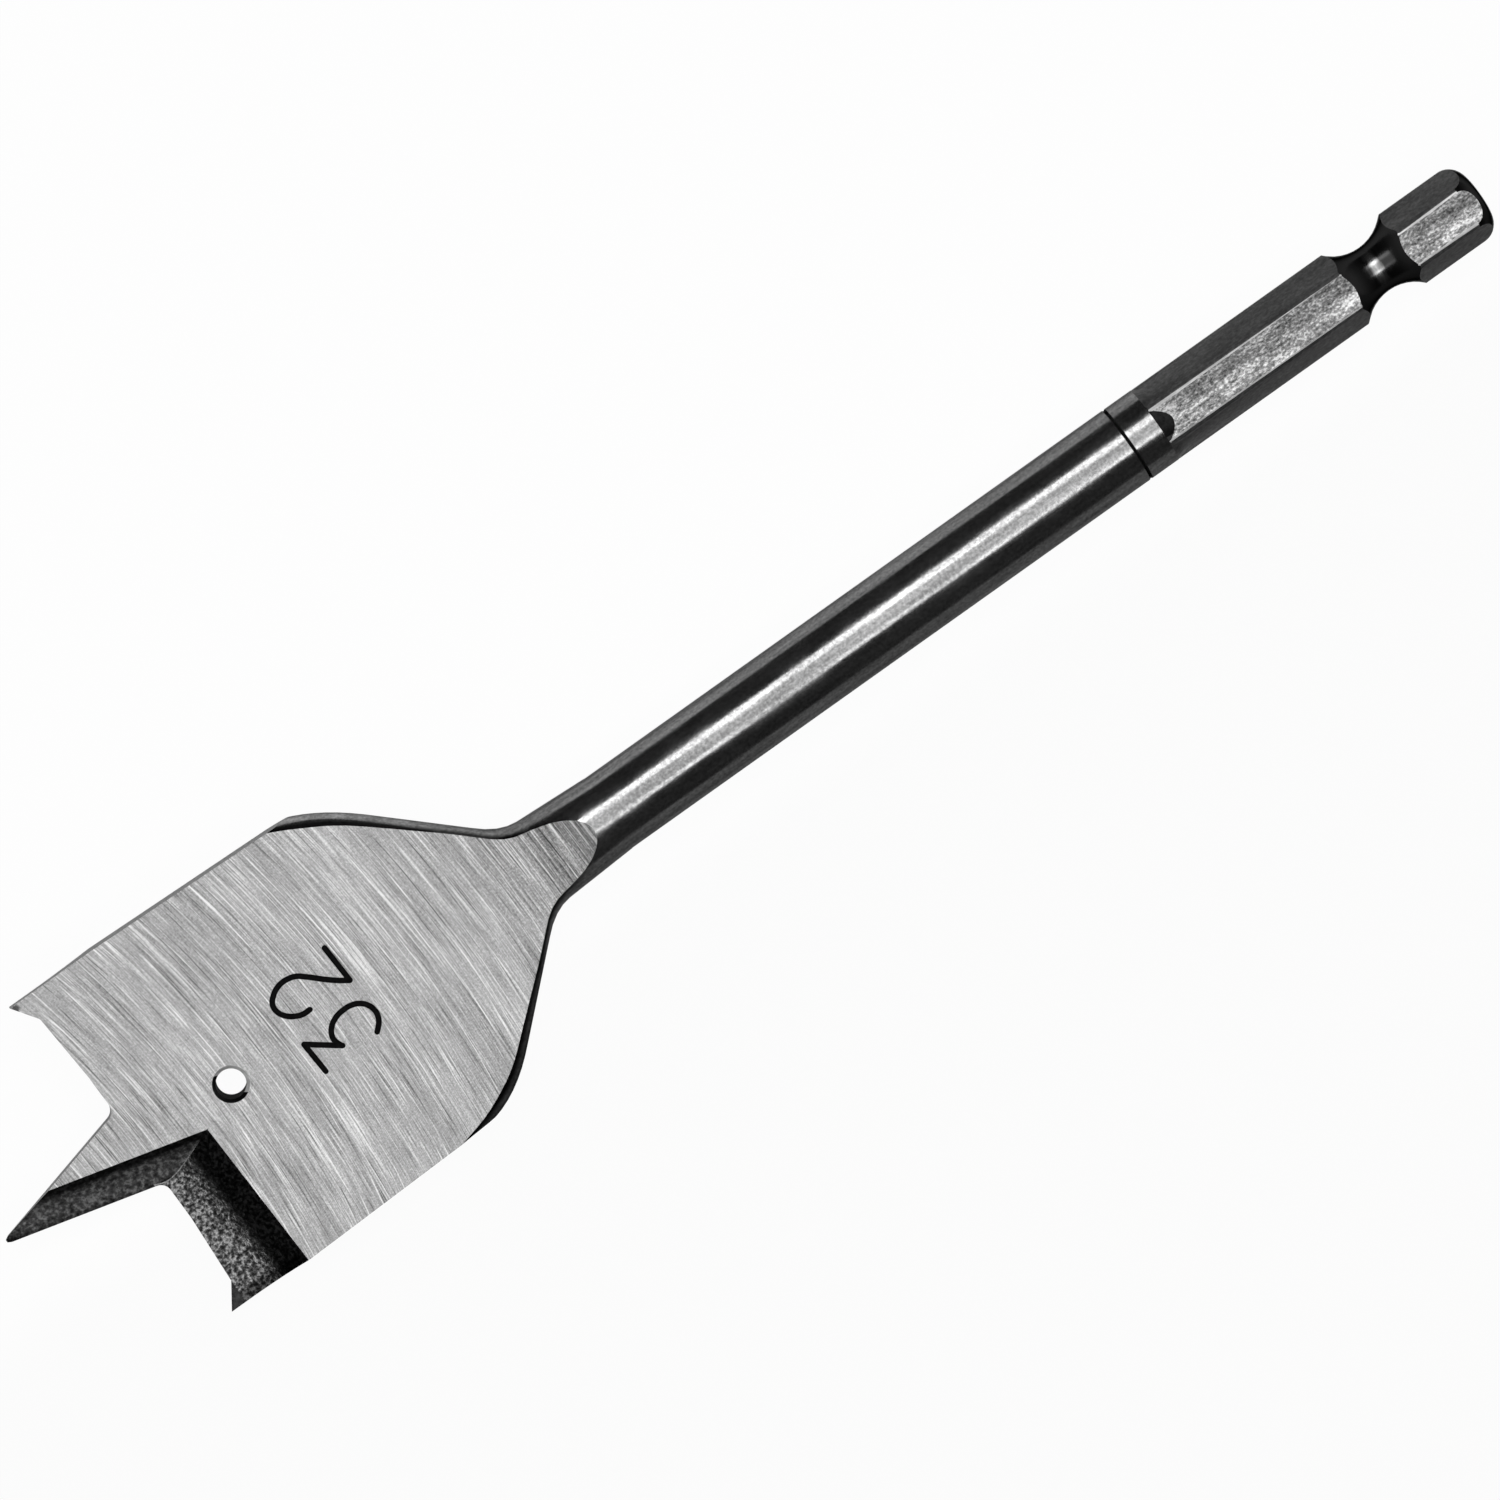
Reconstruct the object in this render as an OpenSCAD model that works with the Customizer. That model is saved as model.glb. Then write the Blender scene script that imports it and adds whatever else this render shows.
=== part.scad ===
// Spade drill bit, one forged steel piece: hex shank, round shaft and a flat blade.
// X runs along the axis, from the shank end at the origin to the point of the bit.
// The bit lies at rest on its shaft and on the edge of one wing.

/* [Shaft] */
// Length from the shank end to the point
overall_length = 152; // [130:1:180]
// Diameter of the round shaft
shaft_d = 7.1; // [6.6:0.1:8.4]
// Distance of the scribed ring from the shank end
ring_at = 36.2; // [34.5:0.1:44]
// Width of the scribed ring
ring_w = 0.3; // [0.2:0.05:0.6]
// Depth of the scribed ring
ring_depth = 0.1; // [0.05:0.01:0.25]

/* [Hex shank] */
// Width across the flats
hex_af = 6.3; // [5.5:0.05:6.5]
// Diameter over the rounded corners of the hexagon
hex_corner_d = 7.06; // [6.6:0.02:7.06]
// Length of the hexagon from the shank end
hex_length = 33.4; // [24:0.1:34]
// Slope of the run-out from the shaft down to the flats
run_out_angle = 16; // [10:1:40]
// Radius on the shank end
end_r = 1.7; // [0.5:0.1:2.2]
// Distance of the detent groove from the shank end
groove_at = 10.7; // [8:0.1:14]
// Diameter left in the groove
groove_neck_d = 4.4; // [3.8:0.1:5.2]
// Radius of the groove along the axis
groove_r = 4; // [3:0.1:5]

/* [Blade] */
// Diameter the bit cuts
blade_width = 32; // [26:0.5:38]
// Thickness between the ground faces
blade_t = 3.2; // [2.6:0.1:4]
// Distance from the point to the end of the parallel sides
land_end = 20; // [17:0.5:26]
// Taper of the sides behind the parallel part
back_taper = 1.6; // [0:0.1:3]
// Distance from the point to the shoulder corner
shoulder_at = 41.7; // [39:0.1:46]
// Slope of the shoulder against the axis
shoulder_angle = 43; // [38:0.5:50]

/* [Forged neck] */
// Spare width of the forging at the lower shoulder corner
spare_lower = 0.1; // [0:0.05:1]
// Spare width of the forging at the upper shoulder corner
spare_upper = 0.7; // [0:0.05:1]
// Softness of the lower shoulder corner
soft_lower = 3; // [1:0.1:5]
// Softness of the upper shoulder corner
soft_upper = 4.2; // [1:0.1:5]
// Softness of the corner between shoulder and neck
soft_neck = 1.4; // [0.6:0.1:3]
// Flare of the neck towards the shoulders
neck_flare = 3; // [0.5:0.1:5]
// Height of the rounded forged edge against the blade thickness
edge_ratio = 1.22; // [1.12:0.01:1.4]
// Length over which the forged edge grows round, up to the shoulder corner
edge_growth = 7.7; // [5:0.1:8]
// Distance from the point to the end of the flat ground face
face_end = 49.8; // [47:0.1:53]
// Radius of the ground run-out into the shaft
face_r = 30; // [20:1:45]

/* [Cutting end] */
// Length of the centre point ahead of the lips
point_length = 13.7; // [10:0.1:16]
// Included angle of the centre point
point_angle = 29; // [20:0.5:30]
// Width of the very tip
tip_w = 0.16; // [0.1:0.02:0.5]
// Length of the blunt tip bevel
tip_bevel = 0.4; // [0.3:0.1:1.6]
// Radius between point and lip
root_r = 1; // [0.4:0.1:1.6]
// Rise of the lip towards the spur
lip_rise = 0.4; // [0:0.05:0.8]
// Height of the spur ahead of the lip
spur_h = 1.5; // [0.8:0.1:2.2]
// Width of the spur at its root
spur_w = 2.2; // [1.4:0.1:3.5]
// Relief angle of the lips
lip_relief = 6; // [2:0.5:10]
// Thickness left between the two rake hollows
web = 0.3; // [0.2:0.05:0.6]
// Length of the rake hollow behind the lip
rake_length = 5.8; // [4:0.1:7]
// Turn of the rake hollow in the blade plane
rake_skew = 1.6; // [0:0.1:3]
// Distance from the tip at which the point hollow crosses the axis
hollow_at = 11.8; // [10:0.1:13]
// Angle of the point hollow against the axis
hollow_angle = 14.4; // [12:0.1:17]
// Radius of the point hollow
hollow_r = 6.2; // [4.5:0.1:9]

/* [Hang hole] */
// Bore of the hang hole
hole_d = 2.6; // [2:0.1:4]
// Chamfer at both rims of the hole
hole_chamfer = 0.3; // [0.1:0.05:0.6]
// Distance of the hole from the point
hole_at = 23.2; // [22:0.1:30]

/* [Hidden] */
$fn = 96;
shaft_r = shaft_d / 2;
corner_r = min(hex_corner_d / 2, shaft_r - 0.02);
half_w = blade_width / 2;
half_t = blade_t / 2;
half_web = web / 2;
// Roll at which the shaft and the edge of one wing touch the same floor
rest_roll = asin(shaft_r / norm([half_w, half_t])) - atan(half_t / half_w);
// Sections round the forging
sides = 40;
neck_r = shaft_r / cos(180 / sides) + 0.01;
face_rise = shaft_r - half_t;
neck_end = face_end + sqrt(face_rise * (2 * face_r - face_rise)) + 1.7;
edge_b = half_t * edge_ratio;
rake_depth = half_t - half_web;
rake_r = (pow(rake_length, 2) + pow(rake_depth, 2)) / (2 * rake_depth);

// Smooth smaller and larger of two values, blended over a width k
function soft_min(a, b, k) = min(a, b) - pow(max(k - abs(a - b), 0), 2) / (4 * k);
function soft_max(a, b, k) = -soft_min(-a, -b, k);
function ease(t) = let (c = min(max(t, 0), 1)) c * c * (3 - 2 * c);

// Half width of the ground sides at a distance from the point
function side_w(d) = half_w - tan(back_taper) * max(d - land_end, 0);
// Half width of the forging before it is ground
function blank_side(d, spare) = side_w(shoulder_at) + spare + 0.06 * (shoulder_at - d);
function shoulder(d) = side_w(shoulder_at) - tan(shoulder_angle) * (d - shoulder_at);
function neck(d) = neck_r + tan(neck_flare) * (neck_end - d);
function blank_w(d, spare, soft) =
    soft_max(neck(d), soft_min(blank_side(d, spare), shoulder(d), soft), soft_neck);
// Half height of the forging
function blank_h(d) =
    let (from = shoulder_at + 2.3)
    edge_b + (neck_r - edge_b) * ease((d - from) / (neck_end - 3 - from));

// Depth of the rounded forged edge, nearly square along the ground sides
square_edge = 0.3;
function edge_a(d, b) =
    square_edge + (b / cos(shoulder_angle) - square_edge) * ease((d - shoulder_at) / edge_growth + 1);

// One section of the forging, round at both edges
function section(d) =
    let (
        b = blank_h(d),
        lower = blank_w(d, spare_lower, soft_lower),
        upper = blank_w(d, spare_upper, soft_upper),
        lower_a = min(lower, edge_a(d, b)),
        upper_a = min(upper, edge_a(d, b))
    )
    [for (i = [0 : sides - 1])
        let (t = (i + 0.5) * 360 / sides)
        [
            overall_length - d,
            cos(t) > 0 ? lower - lower_a + lower_a * cos(t) : upper_a - upper + upper_a * cos(t),
            b * sin(t)
        ]];

function arc(c, r, from, to, n) =
    [for (i = [0 : n]) let (t = from + (to - from) * i / n) c + r * [cos(t), sin(t)]];

// Forged blade, shoulders and neck, lofted through its sections
module blank() {
    first = shoulder_at - 8;
    steps = 34;
    stations = concat([0], [for (i = [0 : steps]) first + (neck_end - first) * i / steps]);
    rows = len(stations);
    points = [for (d = stations) each section(d)];
    walls = [for (r = [0 : rows - 2], i = [0 : sides - 1])
        let (
            j = (i + 1) % sides,
            a = r * sides + i,
            b = r * sides + j,
            c = a + sides,
            e = b + sides
        )
        each [[a, b, e], [a, e, c]]];
    tip_cap = [[for (i = [sides - 1 : -1 : 0]) i]];
    neck_cap = [[for (i = [0 : sides - 1]) (rows - 1) * sides + i]];
    polyhedron(points = points, faces = concat(walls, tip_cap, neck_cap), convexity = 4);
}

// Round shaft, with the run-out down to the hexagon and the scribed ring
module shaft() {
    drop = shaft_r - hex_af / 2 + 0.25;
    run_out = drop / tan(run_out_angle);
    shaft_end = overall_length - neck_end + 0.6;
    rotate([0, 90, 0])
        difference() {
            union() {
                translate([0, 0, hex_length])
                    cylinder(r = shaft_r, h = shaft_end - hex_length);
                translate([0, 0, hex_length - run_out])
                    cylinder(r1 = shaft_r - drop, r2 = shaft_r, h = run_out);
            }
            rotate_extrude()
                polygon([
                    [shaft_r - ring_depth, ring_at],
                    [shaft_r + 1, ring_at - ring_w * (1 + 1 / ring_depth) / 2],
                    [shaft_r + 1, ring_at + ring_w * (1 + 1 / ring_depth) / 2]
                ]);
        }
}

// Hexagon with turned corners, a rounded end and the detent groove
module hex_shank() {
    buried = hex_length + 1;
    difference() {
        intersection() {
            rotate([0, 90, 0])
                rotate([0, 0, 30])
                    cylinder(r = hex_af / 2 / cos(30), h = buried, $fn = 6);
            rotate([0, 90, 0])
                rotate_extrude()
                    polygon(concat(
                        [[0, 0]],
                        arc([corner_r - end_r, end_r], end_r, -90, 0, 10),
                        [[corner_r, buried + 1], [0, buried + 1]]
                    ));
        }
        translate([groove_at, 0, 0])
            rotate([0, 90, 0])
                rotate_extrude()
                    translate([groove_neck_d / 2 + groove_r, 0])
                        circle(r = groove_r);
    }
}

// Stock above one ground face: flat along the blade, then curving up out of the shaft
module face_grind() {
    end = overall_length - face_end;
    rotate([90, 0, 0])
        linear_extrude(height = 3 * half_w, center = true) {
            translate([end, half_t])
                square([face_end + 5, 8]);
            intersection() {
                translate([end, half_t + face_r])
                    circle(r = face_r, $fn = 360);
                translate([end - face_r, half_t - 1])
                    square([face_r + 1, 9]);
            }
        }
}

// Stock outside one side of the blade
module side_grind() {
    linear_extrude(height = 20, center = true)
        polygon([
            [overall_length + 5, half_w],
            [overall_length - land_end, half_w],
            [overall_length - neck_end, side_w(neck_end)],
            [overall_length - neck_end, half_w + 12],
            [overall_length + 5, half_w + 12]
        ]);
}

// Space ahead of one lip, between the centre point and the spur
module end_form() {
    half = point_angle / 2;
    lip_x = overall_length - point_length;
    bevel_w = tip_w / 2 + tip_bevel * tan(30);
    root_w = bevel_w + (point_length - tip_bevel) * tan(half);
    // Corner between point and lip, rounded with root_r
    reach = root_r * tan(45 - half / 2);
    spur_in = half_w - spur_w;
    slope = spur_w / spur_h;
    translate([lip_x, 0, half_web])
        rotate([0, lip_relief, 0])
            linear_extrude(height = 30, center = true)
                polygon(concat(
                    [
                        [point_length + 4, tip_w / 2],
                        [point_length, tip_w / 2],
                        [point_length - tip_bevel, bevel_w]
                    ],
                    arc([root_r, root_w + reach], root_r, 270 - half, 180, 6),
                    [
                        [0, root_w + reach + 3],
                        [lip_rise, spur_in],
                        [lip_rise + spur_h, half_w],
                        [lip_rise + spur_h + 2, half_w + 2 * slope],
                        [point_length + 4, half_w + 2 * slope]
                    ]
                ));
}

// Hollow in front of one lip, running on beside the centre point
module rake() {
    lip_x = overall_length - point_length;
    turn = 90 - hollow_angle;
    drop = half_t - half_web + 0.1;
    centre = sqrt(drop * (2 * hollow_r - drop));
    intersection() {
        translate([lip_x, half_w / 2, half_web])
            rotate([0, 0, rake_skew])
                rotate([90, 0, 0])
                    linear_extrude(height = 6 * half_w, center = true) {
                        translate([0, rake_r - 0.02])
                            circle(r = rake_r, $fn = 180);
                        square([point_length + 8, 6]);
                    }
        translate([overall_length - hollow_at, 0, half_web - 0.1])
            rotate([0, 0, turn])
                rotate([90, 0, 0])
                    linear_extrude(height = 120, center = true) {
                        translate([centre, hollow_r])
                            circle(r = hollow_r, $fn = 180);
                        translate([centre, 0.05])
                            square([60, 7]);
                    }
        translate([lip_x - rake_length - 6, -half_w, -1])
            cube([point_length + rake_length + 12, 3 * half_w, 7]);
    }
}

// Hang hole, chamfered at both faces
module hang_hole() {
    rim = hole_d / 2 + hole_chamfer;
    translate([overall_length - hole_at, 0, 0]) {
        cylinder(d = hole_d, h = blade_t + 4, center = true);
        for (turn = [0, 180])
            rotate([turn, 0, 0])
                translate([0, 0, half_t - hole_chamfer])
                    cylinder(r1 = hole_d / 2, r2 = rim + 1, h = hole_chamfer + 1);
    }
}

module spade_bit() {
    color([0.62, 0.63, 0.64])
        rotate([-rest_roll, 0, 0])
            difference() {
                union() {
                    hex_shank();
                    shaft();
                    blank();
                }
                for (turn = [0, 180])
                    rotate([turn, 0, 0]) {
                        face_grind();
                        side_grind();
                        end_form();
                        rake();
                    }
                hang_hole();
            }
}

spade_bit();
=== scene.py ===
import math

import bpy
from mathutils import Matrix, Vector


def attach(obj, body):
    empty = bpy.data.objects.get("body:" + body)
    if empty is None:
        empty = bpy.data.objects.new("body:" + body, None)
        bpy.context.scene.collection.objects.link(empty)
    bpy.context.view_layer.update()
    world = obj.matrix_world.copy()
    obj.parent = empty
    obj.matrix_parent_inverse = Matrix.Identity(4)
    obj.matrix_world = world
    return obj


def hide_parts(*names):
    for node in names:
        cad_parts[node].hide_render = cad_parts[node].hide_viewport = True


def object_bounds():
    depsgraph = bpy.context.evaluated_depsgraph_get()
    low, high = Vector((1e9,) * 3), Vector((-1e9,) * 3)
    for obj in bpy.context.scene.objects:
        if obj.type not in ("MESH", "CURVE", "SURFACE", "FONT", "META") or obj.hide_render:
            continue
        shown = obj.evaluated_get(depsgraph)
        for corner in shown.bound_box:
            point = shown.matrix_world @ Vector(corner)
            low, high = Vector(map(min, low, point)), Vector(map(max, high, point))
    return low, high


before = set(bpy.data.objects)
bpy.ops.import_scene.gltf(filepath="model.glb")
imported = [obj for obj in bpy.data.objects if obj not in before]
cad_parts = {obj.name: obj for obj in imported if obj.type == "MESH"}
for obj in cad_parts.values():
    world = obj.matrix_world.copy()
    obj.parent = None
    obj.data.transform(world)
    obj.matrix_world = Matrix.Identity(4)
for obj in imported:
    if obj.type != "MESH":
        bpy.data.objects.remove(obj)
cad_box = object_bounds()

MM = 0.001

# Sizes of the bit in millimetres, as the solid has them, with places counted from the tip
LENGTH = 152.0
SHAFT_R = 3.55
HALF_W = 16.0
HALF_T = 1.6
POINT_ROOT = 12.6
POINT_HALF = 6.0
SPUR_BACK = 13.5
SPUR_OUT = 14.4
LIP_BACK = 20.8
LAND_END = 20.0
HOLE_AT = 23.2
HOLE_RIM = 1.6
SHOULDER_FROM = 36.0
FACE_END = 49.8
FACE_R = 30.0
NECK_END = 62.0

# The same for the shank, with places counted from its end
HEX_AF = 6.3
HEX_LENGTH = 33.4
RING_AT = 36.2
RING_REACH = 0.6
GROOVE_AT = 10.7
GROOVE_REACH = 3.1

# Angles of the sides' back taper, and of the side of the hole's rim that gets painted light
BACK_TAPER = math.radians(1.6)
HOLE_LIT_TURN = math.radians(25)

# Small rounds of the hexagon's edges, and of the ridge where the two hollows meet
HEX_EDGE = 0.14
HEX_EDGE_STEPS = 4
HEX_EDGE_LEAST = 1.5
RIDGE_EDGE = 0.05
RIDGE_EDGE_STEPS = 2

# Points closer than this are one, and faces that meet at less than this angle are smooth
MERGE = 0.002
SMOOTH_ANGLE = math.radians(24)

# Turn of the blade about the axis, lying on its lower wing and on the shaft
ROLL = math.asin(SHAFT_R / math.hypot(HALF_W, HALF_T)) - math.atan(HALF_T / HALF_W)


def in_blade(v):
    """A point or direction of the frame, turned into the blade's own plane."""
    c, s = math.cos(ROLL), math.sin(ROLL)
    return Vector((v.x, v.y * c - v.z * s, v.y * s + v.z * c))


def out_of_blade(v):
    """A point in the blade's own plane, turned back into the frame."""
    c, s = math.cos(ROLL), math.sin(ROLL)
    return Vector((v.x, v.y * c + v.z * s, v.z * c - v.y * s))


def clear_selection():
    if bpy.context.object and bpy.context.object.mode != "OBJECT":
        bpy.ops.object.mode_set(mode="OBJECT")
    bpy.ops.object.select_all(action="DESELECT")


def make_active(ob):
    clear_selection()
    ob.select_set(True)
    bpy.context.view_layer.objects.active = ob


# Nodes

def new_material(name):
    mat = bpy.data.materials.new(name)
    mat.use_nodes = True
    tree = mat.node_tree
    shader = tree.nodes["Principled BSDF"]
    return mat, tree, shader


def add(tree, kind, **values):
    node = tree.nodes.new(kind)
    for key, value in values.items():
        setattr(node, key, value)
    return node


def math_node(tree, operation, a, b=None):
    node = add(tree, "ShaderNodeMath", operation=operation)
    for i, v in enumerate((a, b)):
        if v is None:
            continue
        if isinstance(v, (int, float)):
            node.inputs[i].default_value = v
        else:
            tree.links.new(v, node.inputs[i])
    return node.outputs[0]


def blend(tree, parts):
    """Sum of values, each with its share."""
    total = 0.0
    for value, share in parts:
        total = math_node(tree, "ADD", math_node(tree, "MULTIPLY", value, share), total)
    return total


def ramp(tree, fac, stops):
    """Greys, or plain values, at places between 0 and 1."""
    node = add(tree, "ShaderNodeValToRGB")
    elements = node.color_ramp.elements
    while len(elements) < len(stops):
        elements.new(0.5)
    for element, (place, value) in zip(elements, stops):
        element.position = place
        element.color = (value, value, value, 1.0)
    tree.links.new(fac, node.inputs["Fac"])
    return node.outputs["Color"]


def fade(tree, value, start, end):
    """0 at the start and 1 at the end, straight between."""
    node = add(tree, "ShaderNodeMapRange", clamp=True)
    node.inputs["From Min"].default_value = start
    node.inputs["From Max"].default_value = end
    tree.links.new(value, node.inputs["Value"])
    return node.outputs["Result"]


def from_tip(distance):
    """Place on the axis in metres, for a distance from the tip in millimetres."""
    return (LENGTH - distance) * MM


def object_place(tree):
    return add(tree, "ShaderNodeTexCoord").outputs["Object"]


def object_axes(tree):
    split = add(tree, "ShaderNodeSeparateXYZ")
    tree.links.new(object_place(tree), split.inputs["Vector"])
    return split.outputs["X"], split.outputs["Y"], split.outputs["Z"]


def tinted(tree, colour, mask):
    """A colour darkened by a mask."""
    node = add(tree, "ShaderNodeMix", data_type="RGBA", blend_type="MULTIPLY")
    node.inputs["Factor"].default_value = 1.0
    tree.links.new(colour, node.inputs["A"])
    tree.links.new(mask, node.inputs["B"])
    return node.outputs["Result"]


def mixed_colour(tree, share, first, second):
    node = add(tree, "ShaderNodeMix", data_type="RGBA", blend_type="MIX")
    tree.links.new(share, node.inputs["Factor"])
    tree.links.new(first, node.inputs["A"])
    tree.links.new(second, node.inputs["B"])
    return node.outputs["Result"]


def bump(tree, shader, height, strength, depth):
    """Uneven surface, so many millimetres deep at full strength."""
    node = add(tree, "ShaderNodeBump")
    node.inputs["Strength"].default_value = strength
    node.inputs["Distance"].default_value = depth * MM
    tree.links.new(height, node.inputs["Height"])
    tree.links.new(node.outputs["Normal"], shader.inputs["Normal"])


# Node groups for the effects that several finishes share

def group_start(name, sockets_in, sockets_out):
    tree = bpy.data.node_groups.new(name, "ShaderNodeTree")
    for label, kind in sockets_in:
        tree.interface.new_socket(name=label, in_out="INPUT", socket_type=kind)
    for label, kind in sockets_out:
        tree.interface.new_socket(name=label, in_out="OUTPUT", socket_type=kind)
    return tree, add(tree, "NodeGroupInput"), add(tree, "NodeGroupOutput")


NOISE_ROUGHNESS = 0.6


def build_grain():
    """Grain of the steel, drawn out along the axis or across it."""
    tree, inside, outside = group_start(
        "grain",
        [
            ("Vector", "NodeSocketVector"),
            ("Along", "NodeSocketFloat"),
            ("Across", "NodeSocketFloat"),
            ("Detail", "NodeSocketFloat"),
        ],
        [("Grain", "NodeSocketFloat")],
    )
    size = add(tree, "ShaderNodeCombineXYZ")
    tree.links.new(inside.outputs["Along"], size.inputs["X"])
    tree.links.new(inside.outputs["Across"], size.inputs["Y"])
    tree.links.new(inside.outputs["Across"], size.inputs["Z"])
    scaled = add(tree, "ShaderNodeVectorMath", operation="MULTIPLY")
    tree.links.new(inside.outputs["Vector"], scaled.inputs[0])
    tree.links.new(size.outputs["Vector"], scaled.inputs[1])
    texture = add(tree, "ShaderNodeTexNoise")
    texture.inputs["Scale"].default_value = 1.0
    texture.inputs["Roughness"].default_value = NOISE_ROUGHNESS
    tree.links.new(scaled.outputs["Vector"], texture.inputs["Vector"])
    tree.links.new(inside.outputs["Detail"], texture.inputs["Detail"])
    tree.links.new(texture.outputs["Fac"], outside.inputs["Grain"])
    return tree


def build_blade_place():
    """Distance from the middle plane of the blade, and from its axis across the blade, in millimetres."""
    tree, inside, outside = group_start(
        "blade_place",
        [("Vector", "NodeSocketVector")],
        [("Height", "NodeSocketFloat"), ("Across", "NodeSocketFloat")],
    )
    c, s = math.cos(ROLL) / MM, math.sin(ROLL) / MM
    for label, direction in (("Height", (0.0, s, c)), ("Across", (0.0, c, -s))):
        dot = add(tree, "ShaderNodeVectorMath", operation="DOT_PRODUCT")
        tree.links.new(inside.outputs["Vector"], dot.inputs[0])
        dot.inputs[1].default_value = direction
        tree.links.new(math_node(tree, "ABSOLUTE", dot.outputs["Value"]), outside.inputs[label])
    return tree


# Centres of the arcs that the grinding wheel left, in metres: the main pass and an earlier one
WHEEL_CENTRE = (0.229, 0.004)
CROSS_CENTRE = (0.199, 0.001)

# How far the arcs wander in millimetres, how many times to the metre, and the pits to the metre
WANDER = 0.6
WANDER_SCALE = 20.0
PITS_SCALE = 7000.0


def build_wheel_lines():
    """Arcs of the grinding wheel: fine lines, bright and dark lines, broad bands and single scratches."""
    tree, inside, outside = group_start(
        "wheel_lines",
        [("Vector", "NodeSocketVector")],
        [("Lines", "NodeSocketFloat"), ("Scratch", "NodeSocketFloat")],
    )
    place = inside.outputs["Vector"]
    wander = add(tree, "ShaderNodeTexNoise")
    wander.inputs["Scale"].default_value = WANDER_SCALE
    wander.inputs["Detail"].default_value = 1.0
    tree.links.new(place, wander.inputs["Vector"])
    offset = math_node(tree, "SUBTRACT", wander.outputs["Fac"], 0.5)
    drift = math_node(tree, "MULTIPLY", offset, WANDER * MM)

    def arcs(centre, across, along, detail, shift):
        """Noise drawn out along arcs, with so many lines to the metre and breaks to the radian."""
        moved = add(tree, "ShaderNodeVectorMath", operation="SUBTRACT")
        tree.links.new(place, moved.inputs[0])
        moved.inputs[1].default_value = (*centre, 0.0)
        split = add(tree, "ShaderNodeSeparateXYZ")
        tree.links.new(moved.outputs["Vector"], split.inputs["Vector"])
        x, y = split.outputs["X"], split.outputs["Y"]
        x_square = math_node(tree, "MULTIPLY", x, x)
        y_square = math_node(tree, "MULTIPLY", y, y)
        distance = math_node(tree, "SQRT", math_node(tree, "ADD", x_square, y_square))
        radius = math_node(tree, "ADD", distance, drift)
        angle = math_node(tree, "ARCTAN2", y, math_node(tree, "MULTIPLY", x, -1.0))
        spread = add(tree, "ShaderNodeCombineXYZ")
        tree.links.new(math_node(tree, "MULTIPLY", radius, across), spread.inputs["X"])
        tree.links.new(math_node(tree, "MULTIPLY", angle, along), spread.inputs["Y"])
        spread.inputs["Z"].default_value = shift
        texture = add(tree, "ShaderNodeTexNoise")
        texture.inputs["Scale"].default_value = 1.0
        texture.inputs["Detail"].default_value = detail
        texture.inputs["Roughness"].default_value = NOISE_ROUGHNESS
        tree.links.new(spread.outputs["Vector"], texture.inputs["Vector"])
        return texture.outputs["Fac"]

    fine = arcs(WHEEL_CENTRE, across=9500.0, along=30.0, detail=2.0, shift=0.0)
    light_arcs = arcs(WHEEL_CENTRE, across=4800.0, along=9.0, detail=2.5, shift=7.0)
    bright = ramp(tree, light_arcs, [(0.55, 0.0), (0.66, 1.0)])
    deep_arcs = arcs(WHEEL_CENTRE, across=5400.0, along=10.0, detail=2.5, shift=19.0)
    dark = ramp(tree, deep_arcs, [(0.34, 0.0), (0.44, 1.0)])
    broad = arcs(WHEEL_CENTRE, across=500.0, along=4.0, detail=2.0, shift=3.0)
    cross = arcs(CROSS_CENTRE, across=6000.0, along=7.0, detail=1.0, shift=11.0)
    pits = add(tree, "ShaderNodeTexNoise")
    pits.inputs["Scale"].default_value = PITS_SCALE
    pits.inputs["Detail"].default_value = 1.0
    tree.links.new(place, pits.inputs["Vector"])
    shares = [(fine, 0.36), (bright, 0.14), (dark, 0.11), (broad, 0.18), (pits.outputs["Fac"], 0.25)]
    tree.links.new(blend(tree, shares), outside.inputs["Lines"])
    scratch = ramp(tree, cross, [(0.24, 0.0), (0.34, 0.5), (0.64, 0.5), (0.74, 1.0)])
    tree.links.new(scratch, outside.inputs["Scratch"])
    return tree


GRAIN = build_grain()
BLADE_PLACE = build_blade_place()
WHEEL_LINES = build_wheel_lines()


def grain(tree, along, across, detail):
    """The grain group, with so many specks to the metre along the bit and across it."""
    node = add(tree, "ShaderNodeGroup", node_tree=GRAIN)
    tree.links.new(object_place(tree), node.inputs["Vector"])
    node.inputs["Along"].default_value = along
    node.inputs["Across"].default_value = across
    node.inputs["Detail"].default_value = detail
    return node.outputs["Grain"]


def blade_place(tree):
    node = add(tree, "ShaderNodeGroup", node_tree=BLADE_PLACE)
    tree.links.new(object_place(tree), node.inputs["Vector"])
    return node.outputs["Height"], node.outputs["Across"]


def wheel_lines(tree):
    node = add(tree, "ShaderNodeGroup", node_tree=WHEEL_LINES)
    tree.links.new(object_place(tree), node.inputs["Vector"])
    return node.outputs["Lines"], node.outputs["Scratch"]


# Finishes

# Tint of the sheen at a grazing view on dull steel
DULL_RIM = (0.35, 0.35, 0.35, 1.0)


def steel(shader, metallic=1.0, rim=None):
    shader.inputs["Metallic"].default_value = metallic
    if rim:
        shader.inputs["Specular Tint"].default_value = rim


# The corner of each spur's back in the blade's own plane, darkened by painted shade: its reach, and the
# tone left
SPUR_CORNER = Vector((LENGTH - 12.35, -15.7, HALF_T))
SPUR_SHADE_FULL = 0.22
SPUR_SHADE_END = 0.5
SPUR_LEFT = 0.15


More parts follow.
